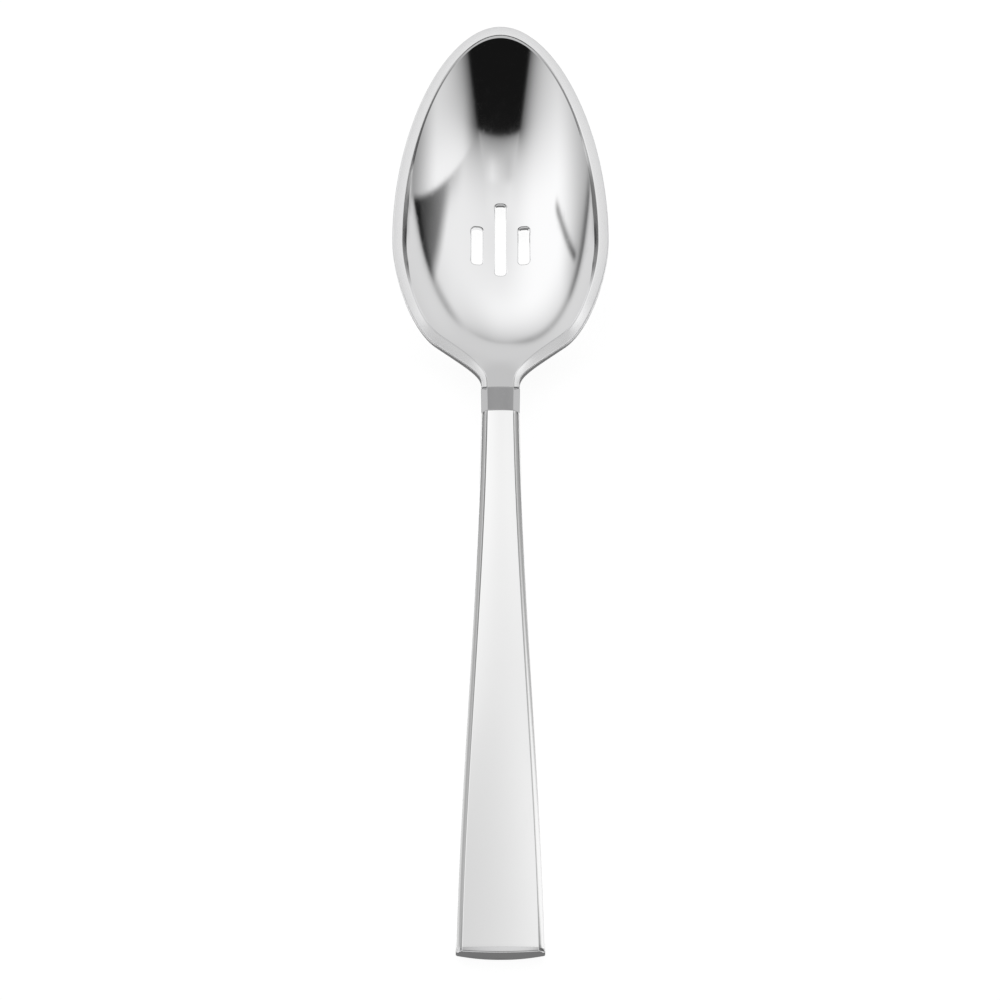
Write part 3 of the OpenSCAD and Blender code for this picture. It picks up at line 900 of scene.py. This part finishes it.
# The side walls that the handle's bevels show, and what the stretch in their middle loses
WALL_START, WALL_FRONT, WALL_BACK = (72, 75), (19.8, 21.8), (34, 37)
WALL_MIDDLE_START, WALL_MIDDLE_STOP = (73, 76), (80, 83)
LEFT_WALL_TONE, LEFT_WALL_MIDDLE_LOSS = 204.0, 40.0
RIGHT_WALL_TONE = 236.0
RIGHT_WALL_LOSS, RIGHT_WALL_MIDDLE_LOSS, RIGHT_WALL_RUN = 74.0, 10.0, (26.5, 29.5)
RIGHT_WALL_GAIN, RIGHT_WALL_GAIN_RUN = 40.0, (30, 31)

# Dark corners at the sides, which the step inside the rim shows
DARK_CORNER_TONE = 85.0
DARK_CORNER_START, DARK_CORNER_FRONT, DARK_CORNER_BACK = (75, 79), (31, 33), (44, 52)

# The room's dark edge behind the table, open at the far side
EDGE_START, EDGE_TONE = (89, 91), 80.0
FAR_EDGE_TONE, FAR_EDGE_RUN = 226.0, (40, 62)

# The flag round the camera: it narrows towards its top, and its shade is soft
FLAG_AT, FLAG_HALF_W, FLAG_TAPER = 1.4, 22.4, 0.78
FLAG_TONE, FLAG_SIDE_SOFT, FLAG_TOP = 20.0, 2.6, (1.8, 3.6)
SHADE_START = 2.6
SHADE_LEFT_FADE, SHADE_RIGHT_FADE, SHADE_TURN = 9.9, 12.8, (-4, 4)
SHADE_TOP_FADE = 4.2
SHADE_SIDE_LOSS, SHADE_TOP_LOSS, SHADE_CORNER = 142.0, 47.0, 0.5
NEAR_SHADE_LOSS, NEAR_SHADE_FADE, NEAR_SHADE_SOFT = 10.0, 3.6, 6.0

# A patch of light above the flag, stronger on the right
PATCH_FRONT, PATCH_BACK, PATCH_SIDES = (5, 9), (15, 22), (7, 18)
PATCH_GAIN, PATCH_SLANT, PATCH_SLANT_STOP, PATCH_SLANT_REACH = 6.0, 2.0, (10.5, 13), 8.0

# The front of the room, behind the camera
FRONT_TONE, FRONT_RUN = 190.0, (-34, -22)

# The table and the dark cards on it, in metres below the spoon, and what they give off. The cards are
# painted shadow: only reflections show them, in place of the table's shade close round the spoon
FLOOR_HALF = 12.0
FLOOR_DROP, CARD_DROP = 0.00003, 0.00001
FLOOR_PAINT = 0.22
FLOOR_GLOW = 0.9
CARD_LIGHT = 0.2
# The cards' middles and half sizes in millimetres
BOWL_CARD_AT, BOWL_CARD_HALF, BOWL_CARD_HOLE = (0, 60), (25, 46), 0.36
NECK_CARD_AT, NECK_CARD_HALF = (0, 18), (22, 16)
SLOT_CARD_HALF, SLOT_CARD_BACK = (1.6, 1.2), 1.4
END_CARD_AT, END_CARD_HALF = (0, END_Y - 2), (20, 7)


def soft(x, a, b):
    t = np.clip((x - a) / (b - a), 0, 1)
    return t * t * (3 - 2 * t)


def lay(under, over, share):
    return under * (1 - share) + over * share


def hem(ex, ey):
    """How far out from the middle of the softbox, as a share of the way to its hem."""
    off = ex - BOX_MIDDLE
    across = np.where(off < 0, (np.abs(off) / BOX_LEFT_REACH) ** BOX_LEFT_ROUND,
                      (np.abs(off) / BOX_RIGHT_REACH) ** BOX_RIGHT_ROUND)
    return np.sqrt(across + (ey / BOX_TOP) ** 2)


def softbox(ex, ey, share):
    """The overhead softbox: its cloth dims towards the hem, the front and the left end."""
    left, right = soft(-ex, *BOX_LEFT_RUN), soft(ex, *BOX_RIGHT_RUN)
    light = BOX_TONE + BOX_LEFT_GAIN * left - BOX_RIGHT_LOSS * right
    light -= BOX_MIDDLE_LOSS * (1 - soft(ey, *BOX_MIDDLE_RUN)) * (1 - left) * (1 - right)
    light -= BOX_FRONT_LOSS * (1 - soft(ey, *BOX_FRONT_RUN))
    dim = HEM_LOSS - HEM_LEFT_GAIN * soft(-ex, *HEM_LEFT_RUN) - HEM_RIGHT_GAIN * soft(ex, *HEM_RIGHT_RUN)
    light -= dim * np.clip((share - HEM_START) / (1 - HEM_START), 0, 1) ** 2 * soft(ey, *HEM_RUN)
    light -= BOX_END_LOSS * soft(-ex, *BOX_END_RUN)
    x, y = ex - CLOTH_SEAM_AT[0], ey - CLOTH_SEAM_AT[1]
    along = x * math.cos(CLOTH_SEAM_TURN) + y * math.sin(CLOTH_SEAM_TURN)
    off = x * math.sin(CLOTH_SEAM_TURN) - y * math.cos(CLOTH_SEAM_TURN)
    seam = soft(along, *CLOTH_SEAM_START) * (1 - soft(along, *CLOTH_SEAM_STOP))
    return light - CLOTH_SEAM_LOSS * np.exp(-(off / CLOTH_SEAM_HALF_W) ** 2) * seam


def right_side(ex, ey, light):
    """The gap past the softbox's right end; gives how far above the side card each point is."""
    above = ey - (CARD_EDGE_AT[1] + (ex - CARD_EDGE_AT[0]) * CARD_EDGE_SLOPE)
    past = ex - (GAP_EDGE_AT[0] + GAP_EDGE_SLOPE * (ey - GAP_EDGE_AT[1]))
    gap = soft(past, -GAP_EDGE_SOFT, GAP_EDGE_SOFT)
    tone = GAP_TONE - GAP_FALL * (ex - GAP_AT[0]) + GAP_RISE * (ey - GAP_AT[1])
    light = lay(light, np.clip(tone, GAP_DARKEST, GAP_LIGHTEST), gap)
    shade = np.exp(-(above / CARD_SHADE_HALF_W) ** 2) * soft(ex, *CARD_SHADE_START) * (1 - gap)
    return light - CARD_SHADE * shade, above


def room_and_hem(ex, out, light):
    """The room behind the softbox, and the dark line of its hem; out is degrees past the hem."""
    room = (ROOM_TONE - ROOM_FAR_LOSS * soft(out, *ROOM_FAR_RUN)
            + ROOM_SIDE_GAIN * soft(np.abs(ex), *ROOM_SIDE_RUN))
    light = lay(light, room, soft(out, *ROOM_START))
    line = (LINE_LOSS + LINE_LEFT_LOSS * soft(-ex, *LINE_LEFT_RUN)
            + LINE_END_LOSS * soft(-ex, *LINE_END_RUN) + LINE_RIGHT_LOSS * soft(ex, *LINE_RIGHT_RUN))
    return light - line * np.exp(-(out / np.where(out < 0, LINE_INNER_W, LINE_OUTER_W)) ** 2)


def side_walls(ex, ey, light):
    """The side walls that the handle's bevels show, and the dark corners behind them."""
    reach = np.abs(ex)
    middle = soft(reach, *WALL_MIDDLE_START) * (1 - soft(reach, *WALL_MIDDLE_STOP))
    left = LEFT_WALL_TONE - LEFT_WALL_MIDDLE_LOSS * middle
    right = (RIGHT_WALL_TONE
             - (RIGHT_WALL_LOSS + RIGHT_WALL_MIDDLE_LOSS * middle) * soft(ey, *RIGHT_WALL_RUN)
             + RIGHT_WALL_GAIN * soft(ey, *RIGHT_WALL_GAIN_RUN) * (1 - middle))
    wall = soft(reach, *WALL_START) * soft(ey, *WALL_FRONT) * (1 - soft(ey, *WALL_BACK))
    light = lay(light, np.where(ex < 0, left, right), wall)
    corner = soft(reach, *DARK_CORNER_START) * soft(ey, *DARK_CORNER_FRONT)
    return lay(light, DARK_CORNER_TONE, corner * (1 - soft(ey, *DARK_CORNER_BACK)))


def camera_flag(ex, ey, light):
    """The flag round the camera with its soft shade, and the patch of light above it."""
    x = ex - FLAG_AT
    side = np.abs(x) - (FLAG_HALF_W - FLAG_TAPER * ey)
    past, up = np.maximum(side, 0), np.maximum(ey - SHADE_START, 0)
    fade = lay(SHADE_LEFT_FADE, SHADE_RIGHT_FADE, soft(x, *SHADE_TURN))
    loss = lay(SHADE_SIDE_LOSS, SHADE_TOP_LOSS, up / (up + past + SHADE_CORNER))
    light = light - loss * np.exp(-np.hypot(past / fade, up / SHADE_TOP_FADE))
    near = 1 - soft(side, -NEAR_SHADE_SOFT, NEAR_SHADE_SOFT)
    light -= NEAR_SHADE_LOSS * np.exp(-up / NEAR_SHADE_FADE) * near
    patch = soft(ey, *PATCH_FRONT) * (1 - soft(ey, *PATCH_BACK)) * (1 - soft(np.abs(ex), *PATCH_SIDES))
    slant = (1 - soft(ey, *PATCH_SLANT_STOP)) * np.clip(ex, -PATCH_SLANT_REACH, PATCH_SLANT_REACH)
    light += (PATCH_GAIN + PATCH_SLANT * slant) * patch
    flag = (1 - soft(side, -FLAG_SIDE_SOFT, FLAG_SIDE_SOFT)) * (1 - soft(ey, *FLAG_TOP))
    return lay(light, FLAG_TONE, flag)


def tent_shade(ex, ey):
    """The tone of the tent's cloth in each direction."""
    share = hem(ex, ey)
    light, above = right_side(ex, ey, softbox(ex, ey, share))
    light = room_and_hem(ex, (share - 1) * BOX_TOP, light)
    card = (CARD_TONE + CARD_TOP_GAIN * soft(above, *CARD_TOP_RUN)
            - CARD_END_LOSS * soft(ex, *CARD_END_RUN))
    light = lay(light, card, (1 - soft(above, -CARD_EDGE_SOFT, CARD_EDGE_SOFT)) * soft(ex, *CARD_START))
    light = side_walls(ex, ey, light)
    edge = lay(EDGE_TONE, FAR_EDGE_TONE, soft(ey, *FAR_EDGE_RUN))
    light = lay(light, edge, soft(np.hypot(ex, ey), *EDGE_START))
    light = camera_flag(ex, ey, light)
    light = lay(light, FRONT_TONE, 1 - soft(ey, *FRONT_RUN))
    return np.clip(light, DARKEST, 255)


def light_tent():
    """A big dome whose cloth carries the softbox, side card and flag; only reflections show it."""
    bm = bmesh.new()
    bmesh.ops.create_grid(bm, x_segments=TENT_COLUMNS, y_segments=TENT_ROWS, size=1.0)
    mesh = bpy.data.meshes.new("light_tent")
    bm.to_mesh(mesh)
    bm.free()
    co = np.empty(len(mesh.vertices) * 3)
    mesh.vertices.foreach_get("co", co)
    co = co.reshape(-1, 3)
    turn, drop = (co[:, 0] + 1) * math.pi, (co[:, 1] + 1) / 2 * TENT_REACH
    ex, ey = drop * np.cos(turn), drop * np.sin(turn)
    shade = tent_shade(ex, ey) / 255
    drop = np.radians(drop)
    place = np.c_[np.sin(drop) * np.cos(turn), np.sin(drop) * np.sin(turn), np.cos(drop)] * TENT_R
    mesh.vertices.foreach_set("co", place.ravel())
    # From the tone on a screen to the light that makes it
    light = ((shade + 0.055) / 1.055) ** 2.4 / STEEL_SHARE
    cloth = mesh.attributes.new("cloth_light", "FLOAT", "POINT")
    cloth.data.foreach_set("value", light.astype(np.float32))
    mesh.update()
    tent = bpy.data.objects.new("light_tent", mesh)
    bpy.context.scene.collection.objects.link(tent)
    m, out = bare_material("tent_cloth")
    t = m.node_tree
    glow = node(t, "ShaderNodeEmission")
    seen = node(t, "ShaderNodeAttribute", attribute_name="cloth_light")
    t.links.new(seen.outputs["Fac"], glow.inputs["Strength"])
    t.links.new(glow.outputs[0], out.inputs["Surface"])
    mesh.materials.append(m)
    tent.visible_camera = False
    tent.visible_shadow = False


def shadow_card(name, centre, half, hole=0.0):
    """Painted shadow: a dark oval card on the table, which only reflections show, in place of the
    table's shade near the spoon; hole is the share cut out.
    """
    bm = bmesh.new()
    bmesh.ops.create_circle(bm, cap_ends=not hole, segments=96, radius=1.0)
    if hole:
        rim = bmesh.ops.extrude_edge_only(bm, edges=bm.edges[:])["geom"]
        inner = [v for v in rim if isinstance(v, bmesh.types.BMVert)]
        bmesh.ops.scale(bm, vec=(hole, hole, 1), verts=inner)
    bmesh.ops.scale(bm, vec=(half[0] * MM, half[1] * MM, 1), verts=bm.verts[:])
    bmesh.ops.translate(bm, vec=(centre[0] * MM, centre[1] * MM, -CARD_DROP), verts=bm.verts[:])
    card = as_object(name, bm)
    m, out = bare_material(name + "_cloth")
    # Its dim glow is painted shadow in the spoon's reflections, not a lamp
    glow = node(m.node_tree, "ShaderNodeEmission", Strength=CARD_LIGHT)
    m.node_tree.links.new(glow.outputs[0], out.inputs["Surface"])
    card.data.materials.append(m)
    card.visible_camera = False
    card.visible_diffuse = False
    card.visible_shadow = False
    card.visible_transmission = False


def pale_floor():
    """The white table: it keeps the spoon's shadow, and reflections show it as white."""
    bm = bmesh.new()
    bmesh.ops.create_grid(bm, x_segments=8, y_segments=8, size=FLOOR_HALF)
    bmesh.ops.translate(bm, vec=(0, 0, -FLOOR_DROP), verts=bm.verts[:])
    floor = as_object("pale_floor", bm)
    m, out = bare_material("floor_white")
    t = m.node_tree
    both = node(t, "ShaderNodeAddShader")
    paint = node(t, "ShaderNodeBsdfDiffuse", Color=(FLOOR_PAINT, FLOOR_PAINT, FLOOR_PAINT, 1))
    glow = node(t, "ShaderNodeEmission")
    ray = node(t, "ShaderNodeLightPath")
    shown = ray.outputs["Is Camera Ray"]
    for kind in ("Is Glossy Ray", "Is Transmission Ray"):
        either = node(t, "ShaderNodeMath", operation="MAXIMUM")
        t.links.new(shown, either.inputs[0])
        t.links.new(ray.outputs[kind], either.inputs[1])
        shown = either.outputs[0]
    level = node(t, "ShaderNodeMath", operation="MULTIPLY")
    level.inputs[1].default_value = FLOOR_GLOW
    t.links.new(shown, level.inputs[0])
    t.links.new(level.outputs[0], glow.inputs["Strength"])
    t.links.new(paint.outputs[0], both.inputs[0])
    t.links.new(glow.outputs[0], both.inputs[1])
    t.links.new(both.outputs[0], out.inputs["Surface"])
    floor.data.materials.append(m)


world = bpy.data.worlds.new("studio_white")
bpy.context.scene.world = world
world.use_nodes = True
world.node_tree.nodes["Background"].inputs["Color"].default_value = (1, 1, 1, 1)
light_tent()
pale_floor()
# Painted shadow in the reflections: dark cards under the bowl, the neck, the slots and the handle's end
shadow_card("bowl_card", BOWL_CARD_AT, BOWL_CARD_HALF, BOWL_CARD_HOLE)
shadow_card("neck_card", NECK_CARD_AT, NECK_CARD_HALF)
for name, x, ahead, run in (("slot_card", 0, LONG_SLOT_AHEAD, LONG_SLOT),
                            ("side_slot_card", SLOT_PITCH, SHORT_SLOT_AHEAD, SHORT_SLOT)):
    shadow_card(name, (x, WIDE_Y + ahead + run / 2 - SLOT_CARD_BACK), SLOT_CARD_HALF)
shadow_card("end_card", END_CARD_AT, END_CARD_HALF)

# Camera: a long lens, 68 degrees above the table. Lengths are in metres: its distance, what
# it takes in, and where it aims, across the picture and up it
ELEVATION = math.radians(68)
DISTANCE = 2.4
SPAN = 0.21593
AIM = (-0.0001, -0.00109)
SENSOR = 36.0
camera_data = bpy.data.cameras.new("camera")
camera = bpy.data.objects.new("camera", camera_data)
bpy.context.scene.collection.objects.link(camera)
back = Vector((0, -math.cos(ELEVATION), math.sin(ELEVATION)))
up = Vector((0, math.sin(ELEVATION), math.cos(ELEVATION)))
camera.location = Vector((AIM[0], 0, 0)) + up * AIM[1] + back * DISTANCE
camera.rotation_mode = "QUATERNION"
camera.rotation_quaternion = (-back).to_track_quat("-Z", "Y")
camera_data.sensor_width = SENSOR
camera_data.lens = SENSOR * DISTANCE / SPAN
camera_data.clip_start, camera_data.clip_end = 0.05, 60.0
bpy.context.scene.camera = camera

bpy.context.scene.view_settings.view_transform = "Standard"
